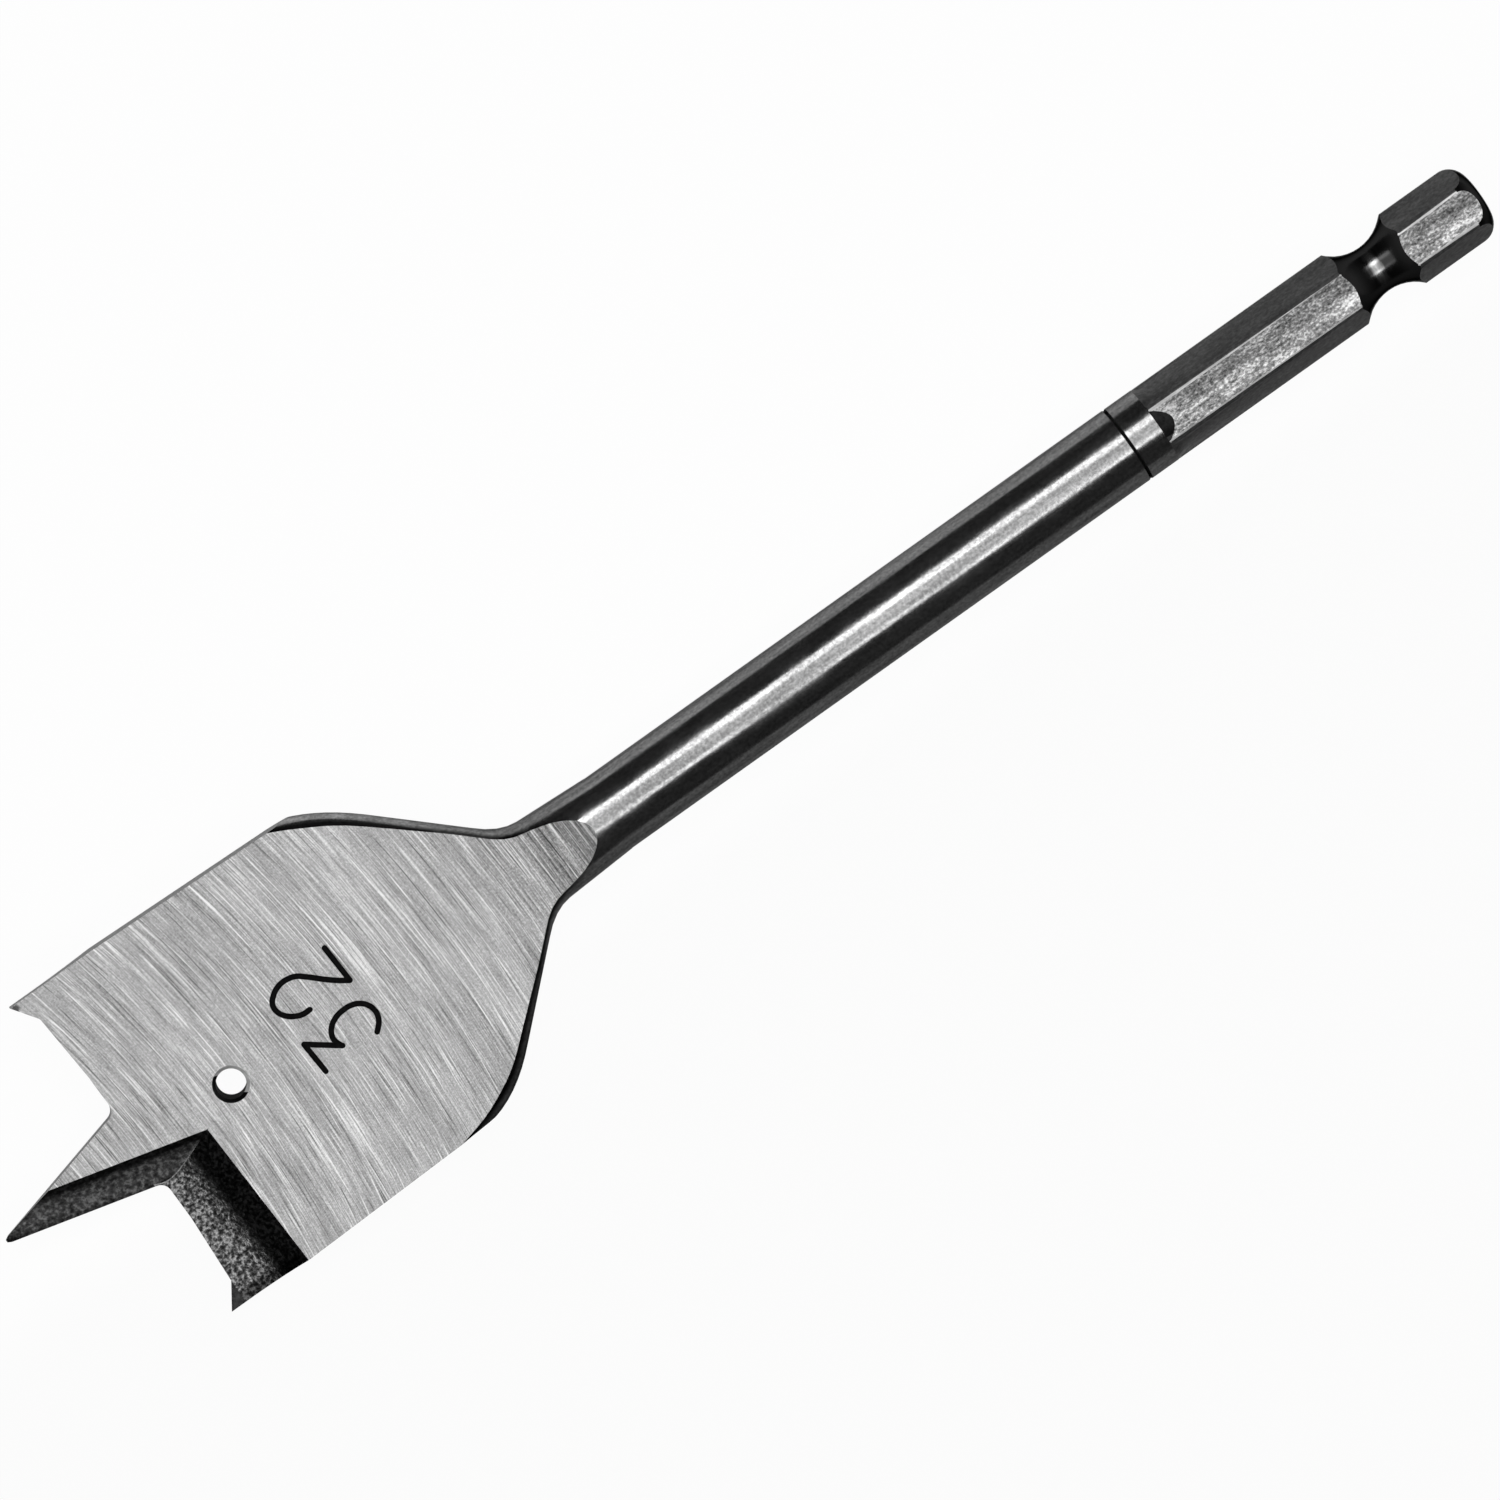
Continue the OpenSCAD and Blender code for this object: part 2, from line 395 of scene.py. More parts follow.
def off_spur_shade(tree):
    """1 away from the spur corners with painted shade, 0 at them."""
    place = object_place(tree)
    corner = out_of_blade(SPUR_CORNER)
    gaps = []
    for spot in (corner, Vector((corner.x, -corner.y, -corner.z))):
        node = add(tree, "ShaderNodeVectorMath", operation="DISTANCE")
        tree.links.new(place, node.inputs[0])
        node.inputs[1].default_value = spot * MM
        gaps.append(node.outputs["Value"])
    return fade(tree, math_node(tree, "MINIMUM", *gaps), SPUR_SHADE_FULL * MM, SPUR_SHADE_END * MM)


def dimmed(tree, mask, least):
    """A mask from 0 to 1, raised to run from the least value to 1."""
    return math_node(tree, "ADD", math_node(tree, "MULTIPLY", mask, 1.0 - least), least)


def taken_off(tree, mask, share):
    """1 where the mask is 0, and less by the share where it is 1."""
    return math_node(tree, "SUBTRACT", 1.0, math_node(tree, "MULTIPLY", mask, share))


# Where the ground face rises to the shaft, and its lines look deeper
RISE_FROM = 49.0
RISE_TO = 58.0


def ground_face():
    """Bright blade face with the arcs of the wheel, and painted shade at the spur corners."""
    mat, tree, shader = new_material("ground_face")
    lines, scratch = wheel_lines(tree)
    both = blend(tree, [(lines, 0.75), (scratch, 0.25)])
    flat = ramp(tree, both, [(0.375, 0.09), (0.515, 0.298), (0.655, 0.61)])
    steep = ramp(tree, both, [(0.415, 0.03), (0.515, 0.23), (0.615, 0.62)])
    rise = fade(tree, object_axes(tree)[0], from_tip(RISE_FROM), from_tip(RISE_TO))
    colour = mixed_colour(tree, rise, flat, steep)
    # Painted shade at the corner of each spur's back.
    spur_shade = dimmed(tree, off_spur_shade(tree), SPUR_LEFT)
    tree.links.new(tinted(tree, colour, spur_shade), shader.inputs["Base Color"])
    steel(shader, metallic=0.7)
    tree.links.new(ramp(tree, lines, [(0.3, 0.42), (0.7, 0.32)]), shader.inputs["Roughness"])
    bump(tree, shader, both, strength=0.3, depth=0.03)
    return mat


# Painted shade as a dark border beside the ground face: how far down it goes, where along the neck it
# ends, and how much it darkens
BORDER_FULL = 0.2
BORDER_DOWN = 0.6
BORDER_END = 60.0
BORDER_FROM = 55.0
BORDER_SHADE = 0.85


def beside_face(tree, along):
    """1 just below the border of the ground face, 0 further down."""
    reach = fade(tree, along, from_tip(FACE_END), from_tip(FACE_END + FACE_R))
    rest = math_node(tree, "SUBTRACT", 1.0, math_node(tree, "MULTIPLY", reach, reach))
    drop = math_node(tree, "MULTIPLY", math_node(tree, "SQRT", rest), FACE_R)
    lift = math_node(tree, "SUBTRACT", HALF_T + FACE_R, drop)
    gap = math_node(tree, "SUBTRACT", lift, blade_place(tree)[0])
    close = math_node(tree, "SUBTRACT", 1.0, fade(tree, gap, BORDER_FULL, BORDER_DOWN))
    on_neck = fade(tree, along, from_tip(BORDER_END), from_tip(BORDER_FROM))
    return math_node(tree, "MULTIPLY", close, on_neck)


# The forged shoulders: where they start, and how much painted shade darkens their lower side and painted
# light lightens their upper side
FORGED_FROM = 58.0
FORGED_FULL = 46.0
LOWER_FULL = 8.0
LOWER_PAINTED_SHADE = -0.5
UPPER_FROM = -2.0
UPPER_FULL = -8.0
UPPER_PAINTED_LIGHT = 0.45


def dark_shaft():
    """Dark drawn steel with faint streaks along the axis, with painted shade and painted light on the
    forged shoulders and painted shade beside the ground face.
    """
    mat, tree, shader = new_material("dark_shaft")
    streak = grain(tree, along=90.0, across=1400.0, detail=4.0)
    speck = grain(tree, along=3600.0, across=3600.0, detail=2.0)
    cloud = grain(tree, along=260.0, across=500.0, detail=3.0)
    mixed = blend(tree, [(streak, 0.5), (speck, 0.5)])
    colour = ramp(tree, mixed, [(0.35, 0.135), (0.5, 0.24), (0.65, 0.36)])
    along, across = object_axes(tree)[:2]
    # Painted shade on the lower shoulder and painted light on the upper one.
    forged = fade(tree, along, from_tip(FORGED_FROM), from_tip(FORGED_FULL))
    lower = fade(tree, across, 0.0, LOWER_FULL * MM)
    upper = fade(tree, across, UPPER_FROM * MM, UPPER_FULL * MM)
    change = blend(tree, [(lower, LOWER_PAINTED_SHADE), (upper, UPPER_PAINTED_LIGHT)])
    tone = math_node(tree, "ADD", 1.0, math_node(tree, "MULTIPLY", change, forged))
    # Painted shade along the border of the ground face.
    border = taken_off(tree, beside_face(tree, along), BORDER_SHADE)
    shade = math_node(tree, "MULTIPLY", tone, border)
    tree.links.new(tinted(tree, colour, shade), shader.inputs["Base Color"])
    steel(shader, rim=DULL_RIM)
    tree.links.new(ramp(tree, cloud, [(0.35, 0.14), (0.65, 0.22)]), shader.inputs["Roughness"])
    bump(tree, shader, mixed, strength=0.15, depth=0.02)
    return mat


# The flats' half with painted light: where it starts and is full across the flat, its tone, and that of
# the other half
LIT_HALF_FROM = -0.1
LIT_HALF_FULL = 0.6
LIT_HALF_MORE = 0.42
UNLIT_HALF = 0.68


def facing_flat_lit():
    """The two flats in line with the blade, mottled by a torn cut, lighter than the side flats as painted
    light, and lighter still on one half as painted light.
    """
    mat, tree, shader = new_material("facing_flat_lit")
    torn = grain(tree, along=3400.0, across=5200.0, detail=3.0)
    patch = grain(tree, along=260.0, across=1300.0, detail=3.0)
    mixed = blend(tree, [(torn, 0.55), (patch, 0.45)])
    colour = ramp(tree, mixed, [(0.375, 0.04), (0.5, 0.185), (0.625, 0.56)])
    across = object_axes(tree)[1]
    # Painted light: the half of the flat towards the lower wing is lighter.
    painted_light = fade(tree, across, LIT_HALF_FROM * MM, LIT_HALF_FULL * MM)
    share = math_node(tree, "ADD", math_node(tree, "MULTIPLY", painted_light, LIT_HALF_MORE), UNLIT_HALF)
    tree.links.new(tinted(tree, colour, share), shader.inputs["Base Color"])
    steel(shader, metallic=0.85, rim=DULL_RIM)
    tree.links.new(ramp(tree, torn, [(0.3, 0.4), (0.7, 0.28)]), shader.inputs["Roughness"])
    bump(tree, shader, torn, strength=0.25, depth=0.03)
    return mat


def side_flat_shaded():
    """The four flats beside them and the hexagon's turned corners, darker than the facing flats as painted
    shade.
    """
    mat, tree, shader = new_material("side_flat_shaded")
    torn = grain(tree, along=2600.0, across=3800.0, detail=4.0)
    patch = grain(tree, along=220.0, across=900.0, detail=3.0)
    mixed = blend(tree, [(torn, 0.6), (patch, 0.4)])
    colour = ramp(tree, mixed, [(0.32, 0.025), (0.5, 0.055), (0.68, 0.1)])
    tree.links.new(colour, shader.inputs["Base Color"])
    steel(shader, metallic=0.5)
    shader.inputs["Specular IOR Level"].default_value = 0.25
    tree.links.new(ramp(tree, torn, [(0.3, 0.46), (0.7, 0.34)]), shader.inputs["Roughness"])
    bump(tree, shader, torn, strength=0.12, depth=0.03)
    return mat


# The lip hollow's outer rim across from the axis, its loss of tone, and how ragged the black band of
# painted shade is
LIP_RIM_FROM = 14.8
LIP_RIM_FULL = 15.3
LIP_RIM_LOSS = 0.7
LIP_RAGGED = 0.3


def lip_hollow():
    """Hollow behind the cutting lip: speckled by the wheel near the lip, black above as painted shade."""
    mat, tree, shader = new_material("lip_hollow")
    speck = grain(tree, along=3100.0, across=3100.0, detail=1.5)
    speckled = ramp(tree, speck, [(0.36, 0.01), (0.5, 0.046), (0.66, 0.17)])
    height, across = blade_place(tree)
    ragged = math_node(tree, "ADD", height, math_node(tree, "MULTIPLY", speck, LIP_RAGGED))
    # Painted shade: black on the higher part of the hollow, next to the face.
    black = ramp(tree, ragged, [(0.62, 1.0), (0.82, 0.2)])
    rim = taken_off(tree, fade(tree, across, LIP_RIM_FROM, LIP_RIM_FULL), LIP_RIM_LOSS)
    tree.links.new(tinted(tree, tinted(tree, speckled, black), rim), shader.inputs["Base Color"])
    steel(shader)
    tree.links.new(ramp(tree, speck, [(0.35, 0.32), (0.65, 0.22)]), shader.inputs["Roughness"])
    bump(tree, shader, speck, strength=0.6, depth=0.06)
    return mat


# The ramps over the height in the point hollow run to this many millimetres
HOLLOW_SPAN = 2.0

# The darker tip of the point: where it is darkest, where it ends, and what is left of the tone
TIP_DARK = 0.3
TIP_END = 2.2
TIP_LEFT = 0.3


def hollow_height(tree):
    return math_node(tree, "MULTIPLY", blade_place(tree)[0], 1.0 / HOLLOW_SPAN)


def point_hollow():
    """Duller hollow along the edge of the point, black next to the face as painted shade, dark at its edge
    and tip.
    """
    mat, tree, shader = new_material("point_hollow")
    speck = grain(tree, along=2300.0, across=2300.0, detail=2.5)
    speckled = ramp(tree, speck, [(0.32, 0.035), (0.5, 0.135), (0.68, 0.46)])
    # Painted shade: bands of black over the height of the hollow, next to the face.
    dark_bands = [(0.075, 0.1), (0.1, 0.55), (0.19, 1.0), (0.42, 1.0), (0.6, 0.1)]
    black = ramp(tree, hollow_height(tree), dark_bands)
    off_tip = fade(tree, object_axes(tree)[0], from_tip(TIP_DARK), from_tip(TIP_END))
    dim_tip = dimmed(tree, off_tip, TIP_LEFT)
    tree.links.new(tinted(tree, tinted(tree, speckled, black), dim_tip), shader.inputs["Base Color"])
    steel(shader)
    tree.links.new(ramp(tree, speck, [(0.3, 0.56), (0.7, 0.44)]), shader.inputs["Roughness"])
    bump(tree, shader, speck, strength=0.4, depth=0.05)
    return mat


def plain_finish(name, scale, greys, roughness, rim=None, metallic=1.0):
    """A finish with one grain, scaled along and across, between two greys and two values of roughness."""
    mat, tree, shader = new_material(name)
    speck = grain(tree, along=scale[0], across=scale[1], detail=3.0)
    tree.links.new(ramp(tree, speck, [(0.3, greys[0]), (0.7, greys[1])]), shader.inputs["Base Color"])
    steel(shader, metallic, rim)
    rough = ramp(tree, speck, [(0.3, roughness[0]), (0.7, roughness[1])])
    tree.links.new(rough, shader.inputs["Roughness"])
    bump(tree, shader, speck, strength=0.2, depth=0.03)
    return mat


def painted_edge_sheen():
    """Slightly rounded edges of the hexagon, brightened as painted highlight, and the side of the hole's
    rim that gets painted light.
    """
    return plain_finish("painted_edge_sheen", (500.0, 1500.0), (0.3, 0.6), (0.48, 0.4), metallic=0.3)


def ridge_with_painted_shade():
    """Ridge where the two hollows meet, bright near the lip and black near the face as painted shade."""
    mat, tree, shader = new_material("ridge_with_painted_shade")
    speck = grain(tree, along=2300.0, across=2300.0, detail=2.5)
    bright = ramp(tree, speck, [(0.3, 0.12), (0.7, 0.32)])
    # Painted shade: black on the ridge near the face.
    black = ramp(tree, hollow_height(tree), [(0.36, 1.0), (0.56, 0.05)])
    tree.links.new(tinted(tree, bright, black), shader.inputs["Base Color"])
    steel(shader)
    tree.links.new(ramp(tree, speck, [(0.3, 0.48), (0.7, 0.4)]), shader.inputs["Roughness"])
    return mat


def ground_edge():
    """Narrow ground sides and lip flanks."""
    return plain_finish("ground_edge", (2600.0, 2600.0), (0.06, 0.13), (0.42, 0.3))


def scale_and_painted_shade():
    """Black: partly scale left in the hole, in the ring and on the spurs, partly painted shade there and
    where the facing flats run out.
    """
    return plain_finish("scale_and_painted_shade", (2400.0, 2400.0), (0.012, 0.03), (0.4, 0.3), rim=DULL_RIM)


# The painted glint in the groove where it faces up and down, over a groove kept near black as painted
# shade: how far off the axis and off the groove's middle, how ragged, and the greys of glint and groove
GLINT_UP_FROM = 1.5
GLINT_UP_FULL = 2.1
GLINT_FULL = 0.2
GLINT_END = 0.85
GLINT_RAGGED = 0.5
GLINT_GREY = 0.34
GROOVE_GREY = 0.03


def turned_groove():
    """Dark turned groove that holds the bit in a quick chuck, black as painted shade with a painted glint,
    and the turned end.
    """
    mat, tree, shader = new_material("turned_groove")
    speck = grain(tree, along=2600.0, across=900.0, detail=2.0)
    along, _, up = object_axes(tree)
    # Painted glint: lighter where the groove faces up and down, near its middle.
    facing = fade(tree, math_node(tree, "ABSOLUTE", up), GLINT_UP_FROM * MM, GLINT_UP_FULL * MM)
    off_centre = math_node(tree, "ABSOLUTE", math_node(tree, "SUBTRACT", along, GROOVE_AT * MM))
    ragged = math_node(tree, "ADD", off_centre, math_node(tree, "MULTIPLY", speck, GLINT_RAGGED * MM))
    in_middle = math_node(tree, "SUBTRACT", 1.0, fade(tree, ragged, GLINT_FULL * MM, GLINT_END * MM))
    painted_light = math_node(tree, "MULTIPLY", in_middle, facing)
    grey = math_node(tree, "ADD", math_node(tree, "MULTIPLY", painted_light, GLINT_GREY), GROOVE_GREY)
    tree.links.new(grey, shader.inputs["Base Color"])
    steel(shader, rim=DULL_RIM)
    tree.links.new(ramp(tree, speck, [(0.3, 0.24), (0.7, 0.16)]), shader.inputs["Roughness"])
    bump(tree, shader, speck, strength=0.15, depth=0.02)
    return mat


def size_mark():
    """Dark marking of the size number."""
    mat, tree, shader = new_material("size_mark")
    speck = grain(tree, along=3000.0, across=3000.0, detail=3.0)
    tree.links.new(ramp(tree, speck, [(0.3, 0.002), (0.7, 0.006)]), shader.inputs["Base Color"])
    shader.inputs["Roughness"].default_value = 0.8
    shader.inputs["Specular IOR Level"].default_value = 0.03
    return mat


# The bit, as a merged copy of the solid's mesh with its finishes laid on by zone

FINISHES = [
    dark_shaft, ground_face, facing_flat_lit, side_flat_shaded, lip_hollow, point_hollow,
    ground_edge, scale_and_painted_shade, painted_edge_sheen, ridge_with_painted_shade, turned_groove,
]
ZONES = [finish.__name__ for finish in FINISHES]

# How near to a surface a face has to lie to belong to it, in millimetres
FLAT_FIT = 0.01
SIDE_FIT = 0.02
RING_FIT = 0.02
FACE_FIT = 0.03
RIM_FIT = 0.05
GROOVE_FIT = 0.1
HEX_FIT = 0.2

# Limits for the direction of an edge or a face, as a part of its run or its normal
LENGTHWISE = 0.99
LEANS = 0.05
FACES_UP = 0.9
FACE_LEAN = 0.03
RIM_UP = 0.98
CHAMFER_UP = 0.5
HOLLOW_UP = 0.3
POINT_LEAN = 0.1


def shank_zone(centre, normal):
    """The finish at a place on the hexagon."""
    p = centre / MM
    lie = abs(p.y * normal.y + p.z * normal.z)
    on_flat = abs(lie - HEX_AF / 2) < FLAT_FIT
    turned_down = math.hypot(p.y, p.z) < SHAFT_R - GROOVE_FIT
    if abs(p.x - GROOVE_AT) < GROOVE_REACH and turned_down and not on_flat:
        return "turned_groove"
    if abs(normal.x) > LEANS:
        if p.x <= GROOVE_AT:
            return "turned_groove"
        # Run-outs facing up and down are black as painted shade.
        facing = abs(p.z) > 2 * abs(p.y)
        return "scale_and_painted_shade" if facing else "side_flat_shaded"
    # The facing flats take the lit copy of the flat finish and the others its shaded copy, as painted
    # light and shade.
    return "facing_flat_lit" if on_flat and abs(normal.z) > FACES_UP else "side_flat_shaded"


def zone_of(centre, normal):
    """The finish at a place on the bit, which is the same after half a turn about its axis."""
    if centre.x < (HEX_LENGTH + HEX_FIT) * MM:
        return shank_zone(centre, normal)
    p, n = in_blade(centre) / MM, in_blade(normal)
    if n.z < 0:
        p, n = Vector((p.x, -p.y, -p.z)), Vector((n.x, -n.y, -n.z))
    d = LENGTH - p.x
    sunk = math.hypot(p.y, p.z) < SHAFT_R - RING_FIT
    if abs(p.x - RING_AT) < RING_REACH and (abs(n.x) > LEANS or sunk):
        return "scale_and_painted_shade"
    if math.hypot(p.y, d - HOLE_AT) < HOLE_RIM + RIM_FIT and n.z < RIM_UP:
        # One side of the hole's rim gets the bright edge finish as painted light, and the rest of the rim
        # is black.
        lit_side = (d - HOLE_AT) * math.cos(HOLE_LIT_TURN) > p.y * math.sin(HOLE_LIT_TURN)
        return "painted_edge_sheen" if n.z > CHAMFER_UP and lit_side else "scale_and_painted_shade"
    reach = min(max(d - FACE_END, 0), FACE_R)
    lift = HALF_T + FACE_R - math.sqrt(FACE_R ** 2 - reach ** 2)
    on_face = abs(p.z - lift) < FACE_FIT and abs(n.y) < FACE_LEAN
    if d < NECK_END and n.z > FACES_UP and on_face:
        return "ground_face"
    if d < LIP_BACK and n.z > HOLLOW_UP:
        if n.y > POINT_LEAN or (d < POINT_ROOT and p.y < POINT_HALF):
            return "point_hollow"
        return "scale_and_painted_shade" if d < SPUR_BACK and p.y > SPUR_OUT else "lip_hollow"
    side = HALF_W - math.tan(BACK_TAPER) * max(d - LAND_END, 0)
    if d > SHOULDER_FROM and abs(abs(p.y) - side) > SIDE_FIT:
        return "dark_shaft"
    return "ground_edge"


def soften(bit, chosen, width, steps, finish):
    """Take the chosen edges off with a small round of its own finish."""
    kinds = {}
    for face in bit.data.polygons:
        for key in face.edge_keys:
            kinds.setdefault(key, set()).add(ZONES[face.material_index])
    bpy.ops.object.mode_set(mode="EDIT")
    bpy.ops.mesh.select_mode(type="EDGE")
    bpy.ops.mesh.select_all(action="DESELECT")
    bpy.ops.object.mode_set(mode="OBJECT")
    points = bit.data.vertices
    for edge in bit.data.edges:
        run = (points[edge.vertices[0]].co - points[edge.vertices[1]].co) / MM
        edge.select = chosen(run, kinds[edge.key])
    bpy.ops.object.mode_set(mode="EDIT")
    bpy.ops.mesh.bevel(offset=width * MM, segments=steps, material=ZONES.index(finish))
    bpy.ops.object.mode_set(mode="OBJECT")


def bright_flat_edge(run, borders):
    """A long edge of a facing flat."""
    long_way = abs(run.x) > LENGTHWISE * run.length > HEX_EDGE_LEAST
    return long_way and borders == {"facing_flat_lit", "side_flat_shaded"}


def hollow_ridge(run, borders):
    """An edge between the two hollows, whichever way it runs."""
    return borders == {"lip_hollow", "point_hollow"}


def mark_zone_edges(bit):
    """Keep the edge between two finishes sharp."""
    for index in range(len(ZONES)):
        bpy.ops.object.mode_set(mode="EDIT")
        bpy.ops.mesh.select_mode(type="FACE")
        bpy.ops.mesh.select_all(action="DESELECT")
        bit.active_material_index = index
        bpy.ops.object.material_slot_select()
        bpy.ops.mesh.region_to_loop()
        bpy.ops.mesh.mark_sharp()
        bpy.ops.object.mode_set(mode="OBJECT")


def build_bit():
    clear_selection()
    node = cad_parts["spade_bit"]
    bit = bpy.data.objects.new("bit", node.data.copy())
    bpy.context.scene.collection.objects.link(bit)
    make_active(bit)
    bpy.ops.object.mode_set(mode="EDIT")
    bpy.ops.mesh.select_all(action="SELECT")
    bpy.ops.mesh.customdata_custom_splitnormals_clear()
    bpy.ops.mesh.remove_doubles(threshold=MERGE * MM)
    bpy.ops.object.mode_set(mode="OBJECT")
    bit.data.materials.clear()
    for finish in FINISHES:
        bit.data.materials.append(finish())
    for face in bit.data.polygons:
        face.material_index = ZONES.index(zone_of(face.center, face.normal))
    soften(bit, bright_flat_edge, HEX_EDGE, HEX_EDGE_STEPS, "painted_edge_sheen")
    soften(bit, hollow_ridge, RIDGE_EDGE, RIDGE_EDGE_STEPS, "ridge_with_painted_shade")
    mark_zone_edges(bit)
    bpy.ops.object.shade_smooth_by_angle(angle=SMOOTH_ANGLE, keep_sharp_edges=True)
    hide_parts("spade_bit")
    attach(bit, "root")


build_bit()


# Size number on the front face, drawn as single strokes: distance from the tip, and across the blade

STROKE_W = 0.5
STROKE_H = 0.015
STROKE_STEPS = 5
STROKE_ROUND = 3
NUMBER_STROKES = [
    [
        (32.25, -1.29), (31.63, -1.29), (31.03, -1.49), (30.33, -1.99), (29.9, -2.75),
        (29.95, -3.45), (30.43, -4.01), (31.03, -4.36), (31.73, -4.51), (32.33, -4.46),
        (32.93, -4.26), (33.63, -3.7), (34.63, -2.75), (35.63, -1.89), (36.4, -1.35),
    ],
    [(36.42, -1.35), (36.28, -4.81)],
    [(30.28, 3.75), (30.13, 0.83)],
    [(30.13, 0.83), (32.7, 2.8)],
    [
        (32.62, 2.72), (32.4, 2.04), (32.48, 1.54), (32.93, 0.93), (33.63, 0.53),
        (34.43, 0.38), (35.23, 0.43), (35.93, 0.73), (36.43, 1.28), (36.63, 1.94),
        (36.58, 2.44), (36.33, 2.95), (35.73, 3.55),
    ],
]

# Round end of a stroke: share of the half width passed, and width left there
STROKE_CAP = ((0.5, 0.866), (0.866, 0.5), (1.0, 0.05))


def stroke(points):
    """One pen stroke with round ends, as a flattened tube in the plane of the blade."""
    half = STROKE_W / 2
    first, last = Vector(points[0]), Vector(points[-1])
    lead = (first - Vector(points[1])).normalized()
    trail = (last - Vector(points[-2])).normalized()
    path = [(first + lead * half * far, width) for far, width in reversed(STROKE_CAP)]
    path += [(Vector(p), 1.0) for p in points]
    path += [(last + trail * half * far, width) for far, width in STROKE_CAP]
    clear_selection()
    bpy.ops.curve.primitive_bezier_curve_add(location=(0.0, 0.0, 0.0))
    curve = bpy.context.object.data
    knots = curve.splines[0].bezier_points
    knots.add(len(path) - len(knots))
    for knot, (place, width) in zip(knots, path):
        knot.co = (from_tip(place.x), place.y * MM, 0.0)
        knot.handle_left_type = "AUTO"
        knot.handle_right_type = "AUTO"
        knot.radius = width
    curve.resolution_u = STROKE_STEPS
    curve.bevel_resolution = STROKE_ROUND
    curve.bevel_depth = half * MM
    curve.use_fill_caps = True
    bpy.ops.object.convert(target="MESH")
    return bpy.context.object


def build_number():
    strokes = [stroke(points) for points in NUMBER_STROKES]
    clear_selection()
    for ob in strokes:
        ob.select_set(True)
    bpy.context.view_layer.objects.active = strokes[0]
    bpy.ops.object.join()
    number = bpy.context.object
    number.name = "size_number"
    number.data.name = "size_number"
    flat = Matrix.Diagonal((1.0, 1.0, STROKE_H / (STROKE_W / 2), 1.0))
    on_face = Matrix.Translation((0.0, 0.0, HALF_T * MM))
    number.matrix_world = Matrix.Rotation(-ROLL, 4, "X") @ on_face @ flat
    bpy.ops.object.transform_apply(location=True, rotation=True, scale=True)
    bpy.ops.object.shade_smooth()
    number.data.materials.clear()
    number.data.materials.append(size_mark())
    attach(number, "root")


build_number()


# Camera, straight above the bit, with the axis running up to the right

TURN = math.radians(35.41)
DISTANCE = 0.54
VIEW_WIDTH = 0.12637
VIEW_CENTRE = (0.077, 0.00257)
SENSOR = 36.0
NEAREST = 0.01


def build_camera():
    data = bpy.data.cameras.new("camera")
    data.sensor_width = SENSOR
    data.lens = SENSOR * DISTANCE / VIEW_WIDTH
    data.clip_start = NEAREST
    camera = bpy.data.objects.new("camera", data)
    bpy.context.scene.collection.objects.link(camera)
    right = Vector((-math.cos(TURN), math.sin(TURN), 0.0))
    up = Vector((-math.sin(TURN), -math.cos(TURN), 0.0))
    turned = Matrix((right, up, Vector((0.0, 0.0, 1.0)))).transposed()
    camera.matrix_world = Matrix.Translation((*VIEW_CENTRE, DISTANCE)) @ turned.to_4x4()
    bpy.context.scene.camera = camera


build_camera()


# Floor and light

MIDDLE_X = 0.076
FLOOR_SIZE = 6.0
FLOOR_GREY = 0.65

# The floor's painted shadow on the side of the lower wing: its grey, and where it starts and is full, in
# millimetres across from the axis
FLOOR_SHADOW_GREY = 0.24
FLOOR_SHADOW_FROM = 4.0
FLOOR_SHADOW_TO = 9.0

# How far the floor is lifted to white where it is seen, and where it is mirrored
FLOOR_WHITE = 0.96
FLOOR_MIRRORED = 0.15


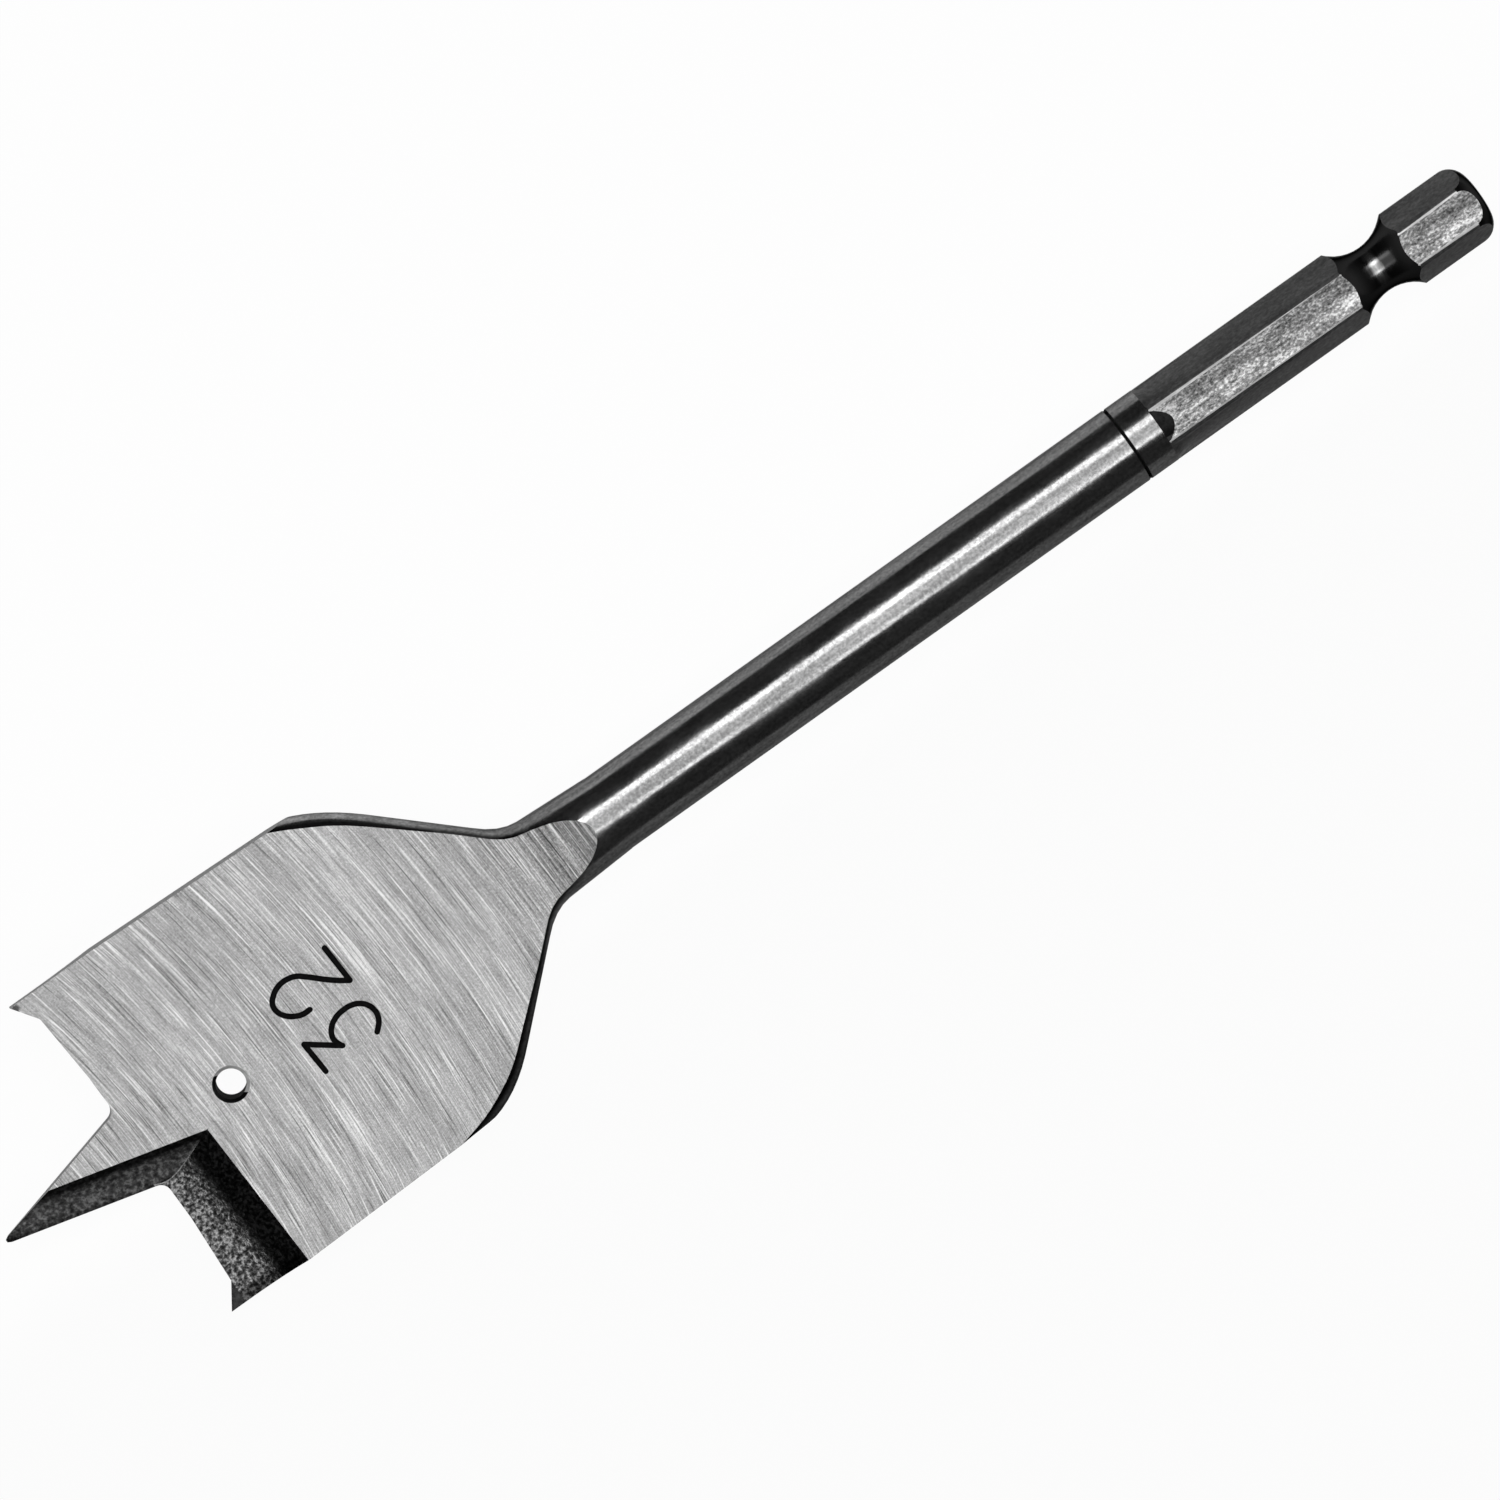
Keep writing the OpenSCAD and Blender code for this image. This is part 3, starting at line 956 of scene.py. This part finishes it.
def build_floor():
    """Pale floor with a painted shadow on the side of the lower wing, lifted towards white."""
    clear_selection()
    bpy.ops.mesh.primitive_plane_add(size=FLOOR_SIZE, location=(MIDDLE_X, 0.0, cad_box[0][2]))
    floor = bpy.context.object
    floor.name = "floor"
    mat, tree, shader = new_material("pale_floor")
    # Painted shadow: the floor is darker beside the lower wing, also where it is mirrored.
    floor_shadow = fade(tree, object_axes(tree)[1], FLOOR_SHADOW_FROM * MM, FLOOR_SHADOW_TO * MM)
    loss = math_node(tree, "MULTIPLY", floor_shadow, FLOOR_GREY - FLOOR_SHADOW_GREY)
    tree.links.new(math_node(tree, "SUBTRACT", FLOOR_GREY, loss), shader.inputs["Base Color"])
    shader.inputs["Roughness"].default_value = 0.9
    shader.inputs["Specular IOR Level"].default_value = 0.1
    path = add(tree, "ShaderNodeLightPath")
    straight = math_node(tree, "ADD", path.outputs["Is Camera Ray"], path.outputs["Is Transmission Ray"])
    pale = math_node(tree, "SUBTRACT", 1.0, floor_shadow)
    mirrored = math_node(tree, "MULTIPLY", path.outputs["Is Glossy Ray"], pale)
    seen = blend(tree, [(straight, FLOOR_WHITE), (mirrored, FLOOR_MIRRORED)])
    white = add(tree, "ShaderNodeEmission")
    white.inputs["Strength"].default_value = 1.0
    mixed = add(tree, "ShaderNodeMixShader")
    tree.links.new(seen, mixed.inputs["Fac"])
    tree.links.new(shader.outputs["BSDF"], mixed.inputs[1])
    tree.links.new(white.outputs["Emission"], mixed.inputs[2])
    tree.links.new(mixed.outputs["Shader"], tree.nodes["Material Output"].inputs["Surface"])
    floor.data.materials.append(mat)


PANEL_HEIGHT = 0.45
PANEL_LENGTH = 0.66

# Each panel's name, the two angles that it lies between, and its radiance
PANELS = [
    ("panel_upper", -29.5, -14, 4.6),
    ("panel_middle", -14, 17.5, 1.55),
    ("panel_lower", 17.5, 27, 3.4),
]


def build_panel(name, first, last, radiance):
    """A flat lamp above the bit, between two angles from straight up, counted towards the lower wing."""
    lo = PANEL_HEIGHT * math.tan(math.radians(first))
    hi = PANEL_HEIGHT * math.tan(math.radians(last))
    data = bpy.data.lights.new(name, "AREA")
    data.shape = "RECTANGLE"
    data.size = PANEL_LENGTH
    data.size_y = hi - lo
    data.energy = radiance * math.pi * PANEL_LENGTH * (hi - lo)
    lamp = bpy.data.objects.new(name, data)
    lamp.location = (MIDDLE_X, (lo + hi) / 2, PANEL_HEIGHT)
    bpy.context.scene.collection.objects.link(lamp)


ROOM_LEVEL = 0.05
ROOM_ENDS = 0.6


def build_room():
    """Dim room, lighter towards both ends of the bit."""
    world = bpy.data.worlds.new("dim_room")
    world.use_nodes = True
    tree = world.node_tree
    split = add(tree, "ShaderNodeSeparateXYZ")
    tree.links.new(add(tree, "ShaderNodeTexCoord").outputs["Generated"], split.inputs["Vector"])
    square = math_node(tree, "MULTIPLY", split.outputs["X"], split.outputs["X"])
    ends = math_node(tree, "MULTIPLY", square, square)
    level = math_node(tree, "ADD", math_node(tree, "MULTIPLY", ends, ROOM_ENDS), ROOM_LEVEL)
    background = tree.nodes["Background"]
    background.inputs["Color"].default_value = (1.0, 1.0, 1.0, 1.0)
    tree.links.new(level, background.inputs["Strength"])
    bpy.context.scene.world = world


build_floor()
for panel in PANELS:
    build_panel(*panel)
build_room()
bpy.context.scene.view_settings.view_transform = "Standard"
